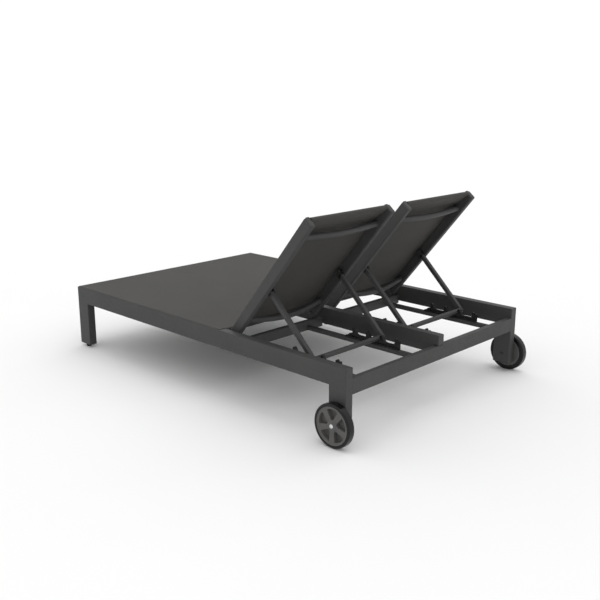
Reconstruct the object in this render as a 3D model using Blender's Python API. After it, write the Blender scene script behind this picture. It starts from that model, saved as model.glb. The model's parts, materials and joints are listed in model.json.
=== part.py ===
"""Two-seat reclining sun lounger: an aluminium bed frame with two sling backrests.

The foot end is at -Y, the head end at +Y, +Z is up, and the left half (for someone lying on
it) is at +X.  Lengths along the bed are first laid out from the foot end, and the empty
"lounger" then shifts them so that the origin is under the middle of the whole object.
Each backrest hangs on an empty on its hinge axis, and each prop on an empty on its own pivot.
"""

import math

import bmesh
import bpy
from mathutils import Vector

# ---------------------------------------------------------------- driving dimensions (metres)
FRAME_LENGTH = 2.000
FRAME_WIDTH = 1.318
RAIL_TOP = 0.3425           # top of the side rails above the ground
RAIL_HEIGHT = 0.0875
SIDE_RAIL_WIDTH = 0.044
CENTRE_RAIL_WIDTH = 0.042
HEAD_RAIL_THICKNESS = 0.030
HEAD_RAIL_HEIGHT = 0.0685
WALL = 0.0022               # wall of every frame tube
EDGE = 0.004                # rounding of the frame tubes
GAP = 0.0003                # gap between pieces that touch

LEG_DEPTH = 0.094
FOOT_LEG_BOTTOM = 0.016
GLIDE_RADIUS = 0.014
GLIDE_PLUG_RADIUS = 0.008
HEAD_LEG_BOTTOM = 0.049

WHEEL_RADIUS = 0.097
WHEEL_FROM_FOOT = 1.957
WHEEL_INNER_X = 0.6610
TYRE_WIDTH = 0.037
AXLE_RADIUS = 0.005

RECLINE_DEGREES = 50.4      # backrest angle above the horizontal as modelled
HINGE_FROM_FOOT = 1.254
BACK_DEPTH = 0.050
BACK_RAIL_WIDTH = 0.030
BACK_LENGTH = 0.758         # hinge axis to the top end
BACK_OUTER_X = 0.607        # outside faces of one backrest
BACK_INNER_X = 0.048
BACK_EDGE = 0.007           # rounding of the backrest rails
BRACE_RADIUS = 0.014        # bowed braces behind a backrest
UPPER_BRACE = (0.654, 0.020, 0.016)     # from the hinge, behind the front, bow
LOWER_BRACE = (0.100, 0.025, 0.035)
TOP_BAR_RADIUS = 0.010
PIVOT_RADIUS = 0.005
RUNNING_CLEARANCE = 0.0003

PROP_FROM_HINGE = 0.3171    # pivot of the prop along the backrest
PROP_BEHIND_AXIS = 0.0225
PROP_LENGTH = 0.3591        # prop pivot to the middle of its crossbar
PROP_DEGREES = 94.74        # angle between backrest and prop as modelled
PROP_RATIO = 1.8386         # degrees the prop turns on the backrest per degree of recline
STRUT_SIZE = 0.021
CROSSBAR_RADIUS = 0.0125
BRACKET_THICKNESS = 0.003

RACK_FROM_FOOT = (1.536, 1.862)
RACK_RECLINE = (30.0, 71.2)     # backrest angles at which the crossbar is over the racks
RACK_BAR_TOP = 0.264
RACK_BAR_SIZE = 0.020
RACK_BAR_WIDTH = 0.026
RACK_X = (0.122, 0.518)     # middle of the inner and of the outer rack

SEAT_BAR_RADIUS = 0.008
SEAT_BAR_FROM_FOOT = 1.216
SEAT_BRACE = (0.620, 0.034, 0.035)      # from the foot, below the rail tops, bow
SEAT_BRACE_RADIUS = 0.010
SLING_THICKNESS = 0.002
SLING_EDGE = 0.014          # bare strip of side rail outside a sling

# ---------------------------------------------------------------- derived dimensions
HALF_LENGTH = (WHEEL_FROM_FOOT + WHEEL_RADIUS) / 2
HALF_WIDTH = FRAME_WIDTH / 2
RAIL_INNER_X = HALF_WIDTH - SIDE_RAIL_WIDTH
CENTRE_HALF = CENTRE_RAIL_WIDTH / 2
RAIL_BOTTOM = RAIL_TOP - RAIL_HEIGHT
HINGE_Z = RAIL_TOP - BACK_DEPTH / 2
HEAD_RAIL_TOP = RAIL_TOP - BACK_DEPTH - GAP
HEAD_RAIL_INNER = FRAME_LENGTH - HEAD_RAIL_THICKNESS
BEAM_BACK = HINGE_FROM_FOOT + 0.027
BEAM_FRONT = BEAM_BACK - 0.025
BEAM_TOP = HEAD_RAIL_TOP - 0.002
BEAM_BOTTOM = BEAM_TOP - 0.051
SIDES = (("left", 1), ("right", -1))


# ---------------------------------------------------------------- helpers
def clear_scene():
    for old in list(bpy.data.objects):
        bpy.data.objects.remove(old, do_unlink=True)


def make_material(name, color, roughness, metallic):
    material = bpy.data.materials.new(name)
    material.use_nodes = True
    shader = material.node_tree.nodes["Principled BSDF"]
    shader.inputs["Base Color"].default_value = (*color, 1.0)
    shader.inputs["Roughness"].default_value = roughness
    shader.inputs["Metallic"].default_value = metallic
    return material


def make_empty(name, parent=None, location=(0, 0, 0), turn_x=0.0):
    empty = bpy.data.objects.new(name, None)
    bpy.context.collection.objects.link(empty)
    empty.parent = parent
    empty.location = location
    empty.rotation_euler = (turn_x, 0, 0)
    return empty


def make_object(name, bm, material, parent, smooth=False):
    bmesh.ops.recalc_face_normals(bm, faces=bm.faces)
    mesh = bpy.data.meshes.new(name)
    bm.to_mesh(mesh)
    bm.free()
    if smooth:
        mesh.shade_smooth()
        mesh.set_sharp_from_angle(angle=math.radians(35))
    mesh.materials.append(material)
    piece = bpy.data.objects.new(name, mesh)
    bpy.context.collection.objects.link(piece)
    piece.parent = parent
    return piece


def box_mesh(low, high):
    bm = bmesh.new()
    size = [b - a for a, b in zip(low, high)]
    middle = [(a + b) / 2 for a, b in zip(low, high)]
    bmesh.ops.create_cube(bm, size=1.0)
    bmesh.ops.scale(bm, vec=size, verts=bm.verts)
    bmesh.ops.translate(bm, vec=middle, verts=bm.verts)
    return bm


def bevel_edges(bm, edges, width, segments=2):
    bmesh.ops.bevel(bm, geom=edges, offset=width, offset_type="OFFSET", segments=segments,
                    profile=0.5, affect="EDGES")


def edges_along(bm, axis):
    """The edges of a box mesh that run along one axis (0, 1 or 2)."""
    return [e for e in bm.edges
            if abs((e.verts[0].co - e.verts[1].co).normalized()[axis]) > 0.99]


def mirrored(low_x, high_x, side):
    """The two X limits of a piece given on the left half, on either side."""
    return (low_x, high_x) if side > 0 else (-high_x, -low_x)


def round_edges(piece, width, segments=2):
    bevel = piece.modifiers.new("round_edges", "BEVEL")
    bevel.width = width
    bevel.segments = segments
    bevel.limit_method = "ANGLE"
    bevel.angle_limit = math.radians(50)


def boolean(piece, cutter, operation="DIFFERENCE"):
    cutter.hide_render = True
    cutter.display_type = "WIRE"
    modifier = piece.modifiers.new(operation.lower(), "BOOLEAN")
    modifier.operation = operation
    modifier.solver = "EXACT"
    modifier.object = cutter


def cylinder_mesh(start, end, radius, segments=24):
    """A closed cylinder between two points."""
    start, end = Vector(start), Vector(end)
    bm = bmesh.new()
    bmesh.ops.create_cone(bm, cap_ends=True, segments=segments, radius1=radius,
                          radius2=radius, depth=(end - start).length)
    turn = (end - start).to_track_quat("Z", "Y").to_matrix()
    bmesh.ops.rotate(bm, cent=(0, 0, 0), matrix=turn, verts=bm.verts)
    bmesh.ops.translate(bm, vec=(start + end) / 2, verts=bm.verts)
    return bm


def hollow(piece, low, high):
    """Cut the box-shaped inside out of a tube; an end of it may run past the tube's end."""
    cutter = make_object(piece.name + "_inside", box_mesh(low, high),
                         piece.data.materials[0], piece.parent)
    boolean(piece, cutter)


def bore(piece, tag, start, end, radius):
    cutter = make_object(piece.name + "_" + tag, cylinder_mesh(start, end, radius),
                         piece.data.materials[0], piece.parent)
    boolean(piece, cutter)


def tube(name, low, high, open_ends, material, parent, wall=WALL, edge=EDGE):
    """Rectangular tube from corner to corner.

    open_ends gives the axis of the tube and which ends are open, such as "y-+" or "z+".
    A tube with two closed ends has those rounded as well.
    """
    axis = "xyz".index(open_ends[0])
    outside = box_mesh(low, high)
    closed = len(open_ends) == 1
    bevel_edges(outside, list(outside.edges) if closed else edges_along(outside, axis), edge)
    piece = make_object(name, outside, material, parent)
    inner_low = [v + wall for v in low]
    inner_high = [v - wall for v in high]
    if "-" in open_ends:
        inner_low[axis] = low[axis] - wall
    if "+" in open_ends:
        inner_high[axis] = high[axis] + wall
    hollow(piece, inner_low, inner_high)
    return piece


def prism(name, outline, x_low, x_high, material, parent):
    """Closed solid with an outline of (y, z) points, extruded along X."""
    bm = bmesh.new()
    base = bm.faces.new([bm.verts.new((x_low, y, z)) for y, z in outline])
    top = bmesh.ops.extrude_face_region(bm, geom=[base])
    moved = [v for v in top["geom"] if isinstance(v, bmesh.types.BMVert)]
    bmesh.ops.translate(bm, vec=(x_high - x_low, 0, 0), verts=moved)
    return make_object(name, bm, material, parent)


def arc(centre, radius, start, end, steps):
    """Points of an arc in (y, z), angles in degrees from +Y towards +Z."""
    angles = [math.radians(start + (end - start) * i / steps) for i in range(steps + 1)]
    return [(centre[0] + radius * math.cos(a), centre[1] + radius * math.sin(a))
            for a in angles]


def turned(name, profile, axis, centre, material, parent, segments=24, flip=1):
    """Solid of revolution; profile holds (along, radius) points of one closed loop.

    A loop that starts and ends on the axis gives a solid, one clear of it gives a ring.
    """
    axis_index = "xyz".index(axis)
    across = [i for i in range(3) if i != axis_index]
    bm = bmesh.new()
    rings = []
    for along, radius in profile:
        place = list(centre)
        place[axis_index] += along * flip
        if radius == 0:
            rings.append([bm.verts.new(place)])
            continue
        ring = []
        for i in range(segments):
            point = list(place)
            angle = 2 * math.pi * i / segments
            point[across[0]] += radius * math.cos(angle)
            point[across[1]] += radius * math.sin(angle)
            ring.append(bm.verts.new(point))
        rings.append(ring)
    pairs = list(zip(rings, rings[1:]))
    if profile[0][1] != 0:
        pairs.append((rings[-1], rings[0]))
    for first, second in pairs:
        for i in range(segments):
            j = (i + 1) % segments
            corners = [first[i % len(first)], first[j % len(first)],
                       second[j % len(second)], second[i % len(second)]]
            bm.faces.new(list(dict.fromkeys(corners)))
    return make_object(name, bm, material, parent, smooth=True)


def bowed_tube(name, x_low, x_high, along, height, bow, radius, wall, material, parent):
    """Round tube across a bay, bowed by `bow` along -Z at its middle, with flat ends."""
    stations, sides = (10 if bow else 1), 14
    bm = bmesh.new()

    def ring(t, ring_radius):
        sag = bow * math.sin(math.pi * t)
        x = x_low + (x_high - x_low) * t
        return [bm.verts.new((x, along + ring_radius * math.cos(2 * math.pi * i / sides),
                              height - sag + ring_radius * math.sin(2 * math.pi * i / sides)))
                for i in range(sides)]

    outside = [ring(i / stations, radius) for i in range(stations + 1)]
    inside = [ring(i / stations, radius - wall) for i in range(stations + 1)]
    loop = outside + inside[::-1]
    for first, second in zip(loop, loop[1:] + loop[:1]):
        for i in range(sides):
            j = (i + 1) % sides
            bm.faces.new((first[i], first[j], second[j], second[i]))
    return make_object(name, bm, material, parent, smooth=True)


# ---------------------------------------------------------------- bed frame
def build_frame(bed, coat):
    for side_name, side in SIDES:
        x_low, x_high = mirrored(RAIL_INNER_X, HALF_WIDTH, side)
        rail = tube(side_name + "_side_rail", (x_low, 0, RAIL_BOTTOM),
                    (x_high, FRAME_LENGTH, RAIL_TOP), "y", coat, bed)
        bore(rail, "pivot_hole", ((RAIL_INNER_X - WALL) * side, HINGE_FROM_FOOT, HINGE_Z),
             ((RAIL_INNER_X + 3 * WALL) * side, HINGE_FROM_FOOT, HINGE_Z),
             PIVOT_RADIUS + RUNNING_CLEARANCE)
    build_centre_rail(bed, coat)
    tube("foot_rail", (-RAIL_INNER_X + GAP, 0, RAIL_BOTTOM),
         (RAIL_INNER_X - GAP, SIDE_RAIL_WIDTH, RAIL_TOP), "x-+", coat, bed)
    tube("head_rail", (-RAIL_INNER_X + GAP, HEAD_RAIL_INNER, HEAD_RAIL_TOP - HEAD_RAIL_HEIGHT),
         (RAIL_INNER_X - GAP, FRAME_LENGTH, HEAD_RAIL_TOP), "x-+", coat, bed)
    for side_name, side in SIDES:
        x_low, x_high = mirrored(CENTRE_HALF + GAP, RAIL_INNER_X - GAP, side)
        tube(side_name + "_hinge_beam", (x_low, BEAM_FRONT, BEAM_BOTTOM),
             (x_high, BEAM_BACK, BEAM_TOP), "x-+", coat, bed)


def build_centre_rail(bed, coat):
    """Its head end is stepped, so that it laps over the lower head rail."""
    start = SIDE_RAIL_WIDTH + GAP
    step_y, step_z = HEAD_RAIL_INNER - GAP, HEAD_RAIL_TOP + GAP
    outline = [(start, RAIL_BOTTOM), (step_y, RAIL_BOTTOM), (step_y, step_z),
               (FRAME_LENGTH, step_z), (FRAME_LENGTH, RAIL_TOP), (start, RAIL_TOP)]
    rail = prism("centre_rail", outline, -CENTRE_HALF, CENTRE_HALF, coat, bed)
    round_edges(rail, EDGE)
    hollow(rail, (-CENTRE_HALF + WALL, start - WALL, RAIL_BOTTOM + WALL),
           (CENTRE_HALF - WALL, step_y - WALL, RAIL_TOP - WALL))
    bore(rail, "pivot_hole", (-2 * CENTRE_HALF, HINGE_FROM_FOOT, HINGE_Z),
         (2 * CENTRE_HALF, HINGE_FROM_FOOT, HINGE_Z), PIVOT_RADIUS + RUNNING_CLEARANCE)


def build_legs(bed, coat, plastic):
    for side_name, side in SIDES:
        x_low, x_high = mirrored(RAIL_INNER_X, HALF_WIDTH, side)
        middle_x = (x_low + x_high) / 2
        foot_leg = tube(side_name + "_foot_leg", (x_low, 0, FOOT_LEG_BOTTOM),
                        (x_high, LEG_DEPTH, RAIL_BOTTOM - GAP), "z", coat, bed)
        bore(foot_leg, "glide_hole", (middle_x, LEG_DEPTH / 2, FOOT_LEG_BOTTOM - WALL),
             (middle_x, LEG_DEPTH / 2, FOOT_LEG_BOTTOM + 2 * WALL), GLIDE_PLUG_RADIUS + GAP)
        head_leg = tube(side_name + "_head_leg",
                        (x_low, FRAME_LENGTH - LEG_DEPTH, HEAD_LEG_BOTTOM),
                        (x_high, FRAME_LENGTH, RAIL_BOTTOM - GAP), "z", coat, bed)
        bore(head_leg, "axle_hole", ((RAIL_INNER_X - 0.01) * side, WHEEL_FROM_FOOT, WHEEL_RADIUS),
             ((HALF_WIDTH + 0.01) * side, WHEEL_FROM_FOOT, WHEEL_RADIUS),
             AXLE_RADIUS + RUNNING_CLEARANCE)
        glide_top = FOOT_LEG_BOTTOM - GAP
        turned(side_name + "_foot_glide",
               [(0, 0), (0, GLIDE_RADIUS - 0.0015), (0.002, GLIDE_RADIUS),
                (glide_top, GLIDE_RADIUS), (glide_top, GLIDE_PLUG_RADIUS),
                (glide_top + 0.012, GLIDE_PLUG_RADIUS - 0.0006), (glide_top + 0.012, 0)],
               "z", (middle_x, LEG_DEPTH / 2, 0), plastic, bed)


# ---------------------------------------------------------------- seat
def build_seat(bed, coat, fabric):
    sling_low = RAIL_TOP + GAP
    sling_end = SEAT_BAR_FROM_FOOT + SEAT_BAR_RADIUS
    brace_y, brace_drop, brace_bow = SEAT_BRACE
    for side_name, side in SIDES:
        x_low, x_high = mirrored(0.010, HALF_WIDTH - SLING_EDGE, side)
        make_object(side_name + "_seat_sling",
                    box_mesh((x_low, SLING_EDGE, sling_low),
                             (x_high, sling_end, sling_low + SLING_THICKNESS)),
                    fabric, bed)
        x_low, x_high = mirrored(CENTRE_HALF + GAP, RAIL_INNER_X - GAP, side)
        bowed_tube(side_name + "_seat_rear_bar", x_low, x_high, SEAT_BAR_FROM_FOOT,
                   RAIL_TOP - SEAT_BAR_RADIUS, 0, SEAT_BAR_RADIUS, WALL, coat, bed)
        bowed_tube(side_name + "_seat_brace", x_low, x_high, brace_y,
                   RAIL_TOP - brace_drop, brace_bow, SEAT_BRACE_RADIUS, WALL, coat, bed)


# ---------------------------------------------------------------- rack for the props
def crossbar_place(recline_degrees):
    """Distance from the foot and height of the crossbar's middle at a backrest angle."""
    recline = math.radians(recline_degrees)
    turned_by = PROP_RATIO * (recline_degrees - RECLINE_DEGREES)
    slope = math.radians(PROP_DEGREES + turned_by) - recline
    along = (PROP_FROM_HINGE * math.cos(recline) + PROP_BEHIND_AXIS * math.sin(recline)
             + PROP_LENGTH * math.cos(slope))
    height = (PROP_FROM_HINGE * math.sin(recline) - PROP_BEHIND_AXIS * math.cos(recline)
              - PROP_LENGTH * math.sin(slope))
    return HINGE_FROM_FOOT + along, HINGE_Z + height


def rack_outline():
    """Side view of one rack: a strip whose top follows the crossbar, which rests on it."""
    base = RACK_BAR_TOP + GAP
    foot_end, head_end = RACK_FROM_FOOT
    low_angle, high_angle = RACK_RECLINE
    steps = 12
    places = [crossbar_place(low_angle + (high_angle - low_angle) * i / steps)
              for i in range(steps + 1)]
    top = [(along, height - CROSSBAR_RADIUS - GAP) for along, height in places]
    return ([(foot_end, base), (head_end, base)] + top
            + [(foot_end, top[-1][1] - 0.001)])


def build_racks(bed, coat, plastic):
    for side_name, side in SIDES:
        for position, middle in zip(("inner", "outer"), RACK_X):
            x_low, x_high = mirrored(middle - RACK_BAR_WIDTH / 2, middle + RACK_BAR_WIDTH / 2, side)
            tube("_".join((side_name, position, "rack_bar")),
                 (x_low, BEAM_BACK + GAP, RACK_BAR_TOP - RACK_BAR_SIZE),
                 (x_high, HEAD_RAIL_INNER - GAP, RACK_BAR_TOP), "y-+", coat, bed,
                 wall=0.0015, edge=0.002)
            prism("_".join((side_name, position, "rack")), rack_outline(),
                  x_low + 0.002, x_high - 0.002, plastic, bed)


# ---------------------------------------------------------------- wheels
def build_wheel(side_name, side, bed, tyre_rubber, hub_plastic, chrome):
    inner = (WHEEL_INNER_X * side, WHEEL_FROM_FOOT, WHEEL_RADIUS)
    spin = make_empty(side_name + "_wheel_axis", bed, inner)
    seat = 0.0745                      # radius where the tyre sits on the hub
    shoulder = 0.009
    tread = [(shoulder - shoulder * math.cos(a), WHEEL_RADIUS - shoulder * (1 - math.sin(a)))
             for a in [math.radians(90 * i / 5) for i in range(6)]]
    tread += [(TYRE_WIDTH - along, radius) for along, radius in tread[::-1]]
    lip = 0.0310                       # where the hub's lip covers the tyre's side
    turned(side_name + "_tyre", tread + [(TYRE_WIDTH, 0.0845), (lip, 0.0845), (lip, seat), (0, seat)],
           "x", (0, 0, 0), tyre_rubber, spin, segments=40, flip=side)
    bore_radius = AXLE_RADIUS + 0.0004
    face = TYRE_WIDTH - 0.002
    hub = turned(side_name + "_hub",
                 [(0, bore_radius), (0, seat - GAP), (lip + GAP, seat - GAP),
                  (lip + GAP, 0.0840), (face, 0.0840), (face + 0.001, 0.0825), (face, 0.0800),
                  (face - 0.002, 0.0780), (face - 0.002, 0.0210), (face, 0.0195),
                  (face, bore_radius)],
                 "x", (0, 0, 0), hub_plastic, spin, segments=40, flip=side)
    for i in range(5):
        pocket = make_object(side_name + "_hub_pocket_" + str(i + 1), pocket_mesh(i, side),
                             hub_plastic, spin)
        boolean(hub, pocket)
    shaft_end = RAIL_INNER_X - WHEEL_INNER_X - 0.0003
    head = [(face + 0.0004, AXLE_RADIUS), (face + 0.0004, 0.0110), (face + 0.0018, 0.0110),
            (face + 0.0038, 0.0080), (face + 0.0045, 0.0)]
    turned(side_name + "_axle_bolt",
           [(shaft_end - 0.006, 0.0), (shaft_end - 0.006, 0.0090), (shaft_end, 0.0090),
            (shaft_end, AXLE_RADIUS)] + head,
           "x", inner, chrome, bed, flip=side)


def pocket_mesh(index, side):
    """One of the five blind pockets between the spokes, open on the outer face."""
    inner_radius, outer_radius, half_angle = 0.030, 0.0735, math.radians(20)
    middle = 2 * math.pi * index / 5 + math.radians(90)
    bm = bmesh.new()
    points = []
    for radius, spread in ((inner_radius, 0.62), (outer_radius, 1.0)):
        angles = [middle + half_angle * spread * (2 * i / 4 - 1) for i in range(5)]
        if radius == outer_radius:
            angles.reverse()
        points += [(radius * math.cos(a), radius * math.sin(a)) for a in angles]
    depth_from, depth_to = 0.008, TYRE_WIDTH + 0.004
    base = bm.faces.new([bm.verts.new((depth_from * side, y, z)) for y, z in points])
    top = bmesh.ops.extrude_face_region(bm, geom=[base])
    moved = [v for v in top["geom"] if isinstance(v, bmesh.types.BMVert)]
    bmesh.ops.translate(bm, vec=((depth_to - depth_from) * side, 0, 0), verts=moved)
    return bm


# ---------------------------------------------------------------- backrests
def back_rail_outline(inset):
    """Side view of a backrest rail, its foot end rounded about the hinge axis."""
    half = BACK_DEPTH / 2 - inset
    return arc((0, 0), half, 90, 270, 12) + [(BACK_LENGTH - inset, -half),
                                             (BACK_LENGTH - inset, half)]


def build_backrest(side_name, side, recline, coat, fabric, steel):
    """Built lying flat: Y runs up the backrest from its hinge, +Z is its front."""
    front = BACK_DEPTH / 2
    inner_faces = (BACK_INNER_X + BACK_RAIL_WIDTH, BACK_OUTER_X - BACK_RAIL_WIDTH)
    places = (("inner", BACK_INNER_X, inner_faces[0]), ("outer", inner_faces[1], BACK_OUTER_X))
    for position, low, high in places:
        name = "_".join((side_name, "back", position, "rail"))
        x_low, x_high = mirrored(low, high, side)
        rail = prism(name, back_rail_outline(0), x_low, x_high, coat, recline)
        round_edges(rail, BACK_EDGE, 3)
        inside = prism(name + "_inside", back_rail_outline(WALL), x_low + WALL, x_high - WALL,
                       coat, recline)
        round_edges(inside, BACK_EDGE - WALL, 3)
        boolean(rail, inside)
        bore(rail, "pivot_hole", (x_low - 0.01, 0, 0), (x_high + 0.01, 0, 0),
             PIVOT_RADIUS + RUNNING_CLEARANCE)
        build_prop_bracket(side_name, side, position, high if position == "inner" else low,
                           recline, steel)
    x_low, x_high = mirrored(inner_faces[0] + GAP, inner_faces[1] - GAP, side)
    inset = TOP_BAR_RADIUS + 0.001
    bowed_tube(side_name + "_back_top_bar", x_low, x_high, BACK_LENGTH - inset,
               front - inset, 0, TOP_BAR_RADIUS, WALL, coat, recline)
    for level, (along, drop, bow) in (("upper", UPPER_BRACE), ("lower", LOWER_BRACE)):
        bowed_tube("_".join((side_name, "back", level, "brace")), x_low, x_high, along,
                   front - drop, bow, BRACE_RADIUS, WALL, coat, recline)
    x_low, x_high = mirrored(BACK_INNER_X + 0.010, BACK_OUTER_X - 0.010, side)
    make_object(side_name + "_back_sling",
                box_mesh((x_low, 0.005, front + GAP),
                         (x_high, BACK_LENGTH - 0.001, front + GAP + SLING_THICKNESS)),
                fabric, recline)


def build_prop_bracket(side_name, side, position, face_x, recline, steel):
    """Plate on the inside face of a backrest rail, with the pin that the strut swings on."""
    inward = 1 if position == "inner" else -1
    pivot = (PROP_FROM_HINGE, -PROP_BEHIND_AXIS)
    near = face_x + inward * GAP
    far = near + inward * BRACKET_THICKNESS
    pin_end = far + inward * (STRUT_SIZE + 2 * GAP)
    head_end = pin_end + inward * 0.003
    name = "_".join((side_name, position, "prop_bracket"))
    outline = arc(pivot, 0.013, 180, 360, 10) + [(pivot[0] + 0.026, 0.018), (pivot[0] - 0.026, 0.018)]
    x_low, x_high = sorted((near * side, far * side))
    plate = prism(name, outline, x_low, x_high, steel, recline)
    middle_x = (near + far) / 2
    pin = make_object(name + "_pin",
                      cylinder_mesh((middle_x * side, *pivot), ((pin_end + inward * 0.001) * side, *pivot),
                                    PIVOT_RADIUS - 0.001), steel, recline)
    head = make_object(name + "_head",
                       cylinder_mesh((pin_end * side, *pivot), (head_end * side, *pivot), 0.0075),
                       steel, recline)
    boolean(plate, pin, "UNION")
    boolean(plate, head, "UNION")


def build_prop(side_name, side, swing, coat):
    """Two struts and their crossbar; Y runs down the struts from their pivot."""
    half = STRUT_SIZE / 2
    clear = GAP + BRACKET_THICKNESS + GAP
    inner_face = BACK_INNER_X + BACK_RAIL_WIDTH + clear
    outer_face = BACK_OUTER_X - BACK_RAIL_WIDTH - clear
    places = (("inner", inner_face, inner_face + STRUT_SIZE),
              ("outer", outer_face - STRUT_SIZE, outer_face))
    for position, low, high in places:
        x_low, x_high = mirrored(low, high, side)
        strut = tube("_".join((side_name, position, "strut")), (x_low, -0.010, -half),
                     (x_high, PROP_LENGTH + 0.012, half), "y", coat, swing, wall=0.0015, edge=0.002)
        bore(strut, "pivot_hole", (x_low - 0.01, 0, 0), (x_high + 0.01, 0, 0),
             PIVOT_RADIUS - 0.001 + RUNNING_CLEARANCE)
    x_low, x_high = mirrored(inner_face + STRUT_SIZE + GAP, outer_face - STRUT_SIZE - GAP, side)
    bowed_tube(side_name + "_prop_crossbar", x_low, x_high, PROP_LENGTH, 0, 0,
               CROSSBAR_RADIUS, WALL, coat, swing)


def build_hinge_pivots(side_name, side, bed, steel):
    """Bolts that carry a backrest: a shank through both pieces, a spacer collar, a head."""
    places = (("outer", RAIL_INNER_X, -1, BACK_OUTER_X, BACK_RAIL_WIDTH),
              ("inner", CENTRE_HALF, 1, BACK_INNER_X, BACK_RAIL_WIDTH))
    for position, frame_face, inward, back_face, rail_width in places:
        gap = abs(back_face - frame_face)
        head = gap + rail_width
        turned("_".join((side_name, position, "hinge_pivot")),
               [(-0.008, 0), (-0.008, PIVOT_RADIUS), (GAP, PIVOT_RADIUS), (GAP, 0.012),
                (gap - GAP, 0.012), (gap - GAP, PIVOT_RADIUS), (head + GAP, PIVOT_RADIUS),
                (head + GAP, 0.009), (head + 0.0035, 0.009), (head + 0.005, 0.006),
                (head + 0.005, 0)],
               "x", (frame_face * side, HINGE_FROM_FOOT, HINGE_Z), steel, bed,
               flip=inward * side)


# ---------------------------------------------------------------- assembly
def build():
    clear_scene()
    coat = make_material("charcoal_powder_coat", (0.060, 0.060, 0.059), 0.48, 0.0)
    fabric = make_material("taupe_sling", (0.095, 0.092, 0.086), 0.85, 0.0)
    plastic = make_material("black_nylon", (0.012, 0.012, 0.012), 0.5, 0.0)
    rubber = make_material("tyre_rubber", (0.014, 0.014, 0.014), 0.7, 0.0)
    hub_plastic = make_material("grey_hub_plastic", (0.070, 0.069, 0.066), 0.5, 0.0)
    chrome = make_material("bright_chrome", (0.80, 0.80, 0.80), 0.15, 1.0)
    steel = make_material("dark_steel", (0.030, 0.030, 0.030), 0.4, 0.6)

    bed = make_empty("lounger", location=(0, -HALF_LENGTH, 0))
    build_frame(bed, coat)
    build_legs(bed, coat, plastic)
    build_seat(bed, coat, fabric)
    build_racks(bed, coat, plastic)
    for side_name, side in SIDES:
        build_wheel(side_name, side, bed, rubber, hub_plastic, chrome)
        build_hinge_pivots(side_name, side, bed, steel)
        recline = make_empty(side_name + "_recline_axis", bed, (0, HINGE_FROM_FOOT, HINGE_Z),
                             math.radians(RECLINE_DEGREES))
        build_backrest(side_name, side, recline, coat, fabric, steel)
        swing = make_empty(side_name + "_prop_axis", recline,
                           (0, PROP_FROM_HINGE, -PROP_BEHIND_AXIS), -math.radians(PROP_DEGREES))
        build_prop(side_name, side, swing, coat)
    bpy.context.view_layer.update()


build()
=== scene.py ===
"""Looks of the two-seat reclining sun lounger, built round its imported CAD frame.

Axes are the frame's own, in metres: +Y towards the head end, +Z up, +X the left half.
Backrest pieces are made lying flat, with Y up the backrest from its hinge axis and Z towards
its front, and BACK stands them up.  Prop pieces have Y down the struts, and PROP places them.
"""

import json
import math

import bmesh
import bpy
from mathutils import Matrix, Vector


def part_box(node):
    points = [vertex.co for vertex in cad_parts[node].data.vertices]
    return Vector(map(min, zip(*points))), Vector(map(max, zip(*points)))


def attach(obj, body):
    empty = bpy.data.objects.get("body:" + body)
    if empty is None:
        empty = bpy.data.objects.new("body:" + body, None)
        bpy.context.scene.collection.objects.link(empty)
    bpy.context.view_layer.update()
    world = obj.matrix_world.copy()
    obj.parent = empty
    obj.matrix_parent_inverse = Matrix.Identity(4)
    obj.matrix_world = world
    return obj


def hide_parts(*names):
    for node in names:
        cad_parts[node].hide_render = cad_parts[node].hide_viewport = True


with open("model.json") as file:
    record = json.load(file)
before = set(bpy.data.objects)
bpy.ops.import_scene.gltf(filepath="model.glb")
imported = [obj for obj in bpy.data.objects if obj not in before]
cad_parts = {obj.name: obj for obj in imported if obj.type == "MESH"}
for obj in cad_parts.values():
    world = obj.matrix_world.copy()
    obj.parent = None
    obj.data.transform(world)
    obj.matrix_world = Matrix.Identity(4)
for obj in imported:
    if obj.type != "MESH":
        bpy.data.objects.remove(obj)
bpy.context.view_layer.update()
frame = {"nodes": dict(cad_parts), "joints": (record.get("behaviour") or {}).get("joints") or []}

# ---------------------------- places read from the frame
SIDES = (("left", 1), ("right", -1))
POSITIONS = ("inner", "outer")      # beside the bed's middle and beside its side rail
JOINTS = {joint["name"]: joint for joint in frame["joints"]}
HINGE = Vector((0, *JOINTS["left_recline"]["pos_m"][1:]))
TILT = -math.radians(JOINTS["left_recline"]["range_deg"][0])
BACK = Matrix.Translation(HINGE) @ Matrix.Rotation(TILT, 4, "X")
PROP_PIVOT = Vector((0, *JOINTS["left_prop_swing"]["pos_m"][1:]))
WORLD = Matrix.Identity(4)
BED = "bed_frame"


def local_box(node, matrix=WORLD):
    """(lowest, highest) corner of a CAD node along the axes of a matrix."""
    back = matrix.inverted()
    points = [back @ v.co for v in frame["nodes"][node].data.vertices]
    low = Vector([min(p[i] for p in points) for i in range(3)])
    high = Vector([max(p[i] for p in points) for i in range(3)])
    return low, high


def middle(node, matrix=WORLD):
    low, high = local_box(node, matrix)
    return (low + high) / 2


def name(*words):
    return "_".join(words)


def prop_matrix():
    """Y runs from the struts' pivot to the middle of the crossbar, X stays across the bed."""
    bar = middle("left_prop_crossbar")
    along = (Vector((0, bar.y, bar.z)) - PROP_PIVOT).normalized()
    across = Vector((1, 0, 0))
    turn = Matrix((across, along, across.cross(along))).transposed().to_4x4()
    return Matrix.Translation(PROP_PIVOT) @ turn


PROP = prop_matrix()

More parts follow.
